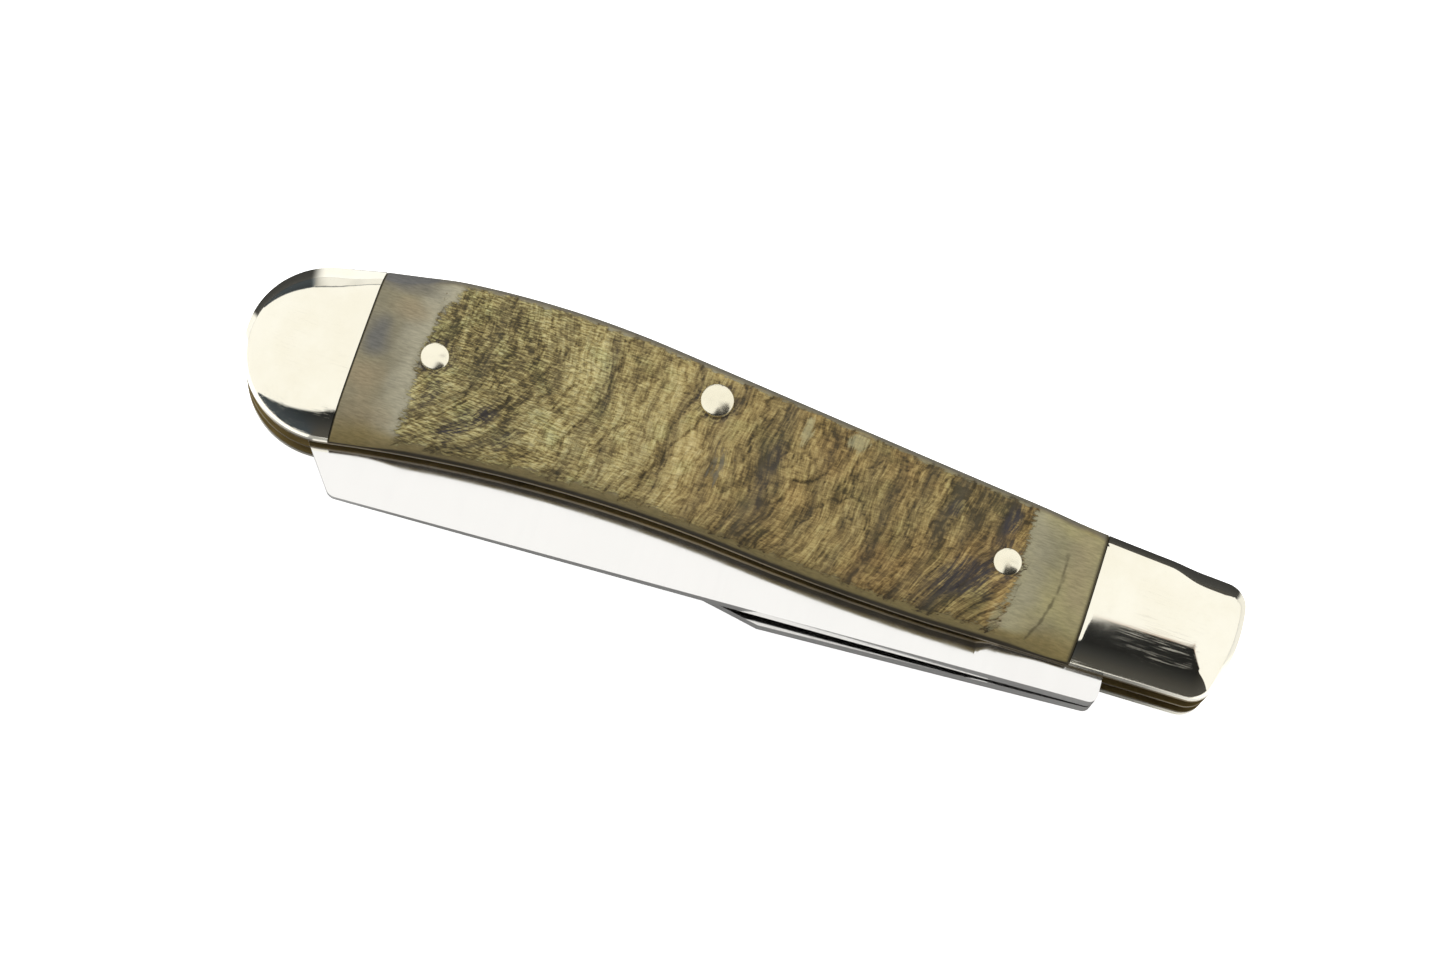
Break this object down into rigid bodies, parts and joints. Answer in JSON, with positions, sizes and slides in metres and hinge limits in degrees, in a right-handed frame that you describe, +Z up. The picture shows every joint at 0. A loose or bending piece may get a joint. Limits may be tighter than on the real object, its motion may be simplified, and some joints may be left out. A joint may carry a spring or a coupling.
{
  "type": "folding pocket knife",
  "caption": "Closed slip-joint pocket knife with a curved horn handle, polished metal bolsters and a spey blade and a clip blade that swing out from one pivot.",
  "frame": {"origin": "on the flat land of the rear scale, at mid length and on the crown line of the handle; the knife lies on that face", "axes": "+X along the handle from the round end to the pivot end, +Y from the blade side to the back springs, +Z up through the thickness to the front side"},
  "size_m": [0.1048, 0.0253, 0.0154],
  "materials": {
    "horn": "rough bark in the middle, ground smooth at the ends",
    "nickel_silver": "mirror polished",
    "liner_brass": "satin",
    "spring_steel": "ground",
    "blade_steel": "polished flanks, finely ground spine",
    "pin_metal": "polished domes"
  },
  "bodies": {
    "handle": {"front_scale": "horn", "rear_scale": "horn", "front_round_bolster": "nickel_silver", "rear_round_bolster": "nickel_silver", "front_square_bolster": "nickel_silver", "rear_square_bolster": "nickel_silver", "front_liner": "liner_brass", "rear_liner": "liner_brass", "centre_liner": "nickel_silver", "spey_spring": "spring_steel", "clip_spring": "spring_steel", "pivot_pin": "nickel_silver", "end_pin": "nickel_silver", "centre_pin": "pin_metal", "front_left_pin": "pin_metal", "front_right_pin": "pin_metal", "rear_left_pin": "pin_metal", "rear_right_pin": "pin_metal"},
    "spey": {"spey_blade": "blade_steel"},
    "clip": {"clip_blade": "blade_steel"}
  },
  "joints": [
    {"name": "spey_fold", "type": "hinge", "parent": "handle", "child": "spey", "pos_m": [0.04486, -0.0017, 0.00895], "axis": [0, 0, 1], "range_deg": [0, 180], "deforming": ["spey_spring"]},
    {"name": "clip_fold", "type": "hinge", "parent": "handle", "child": "clip", "pos_m": [0.04486, -0.0017, 0.00605], "axis": [0, 0, 1], "range_deg": [0, 180], "deforming": ["clip_spring"]}
  ]
}
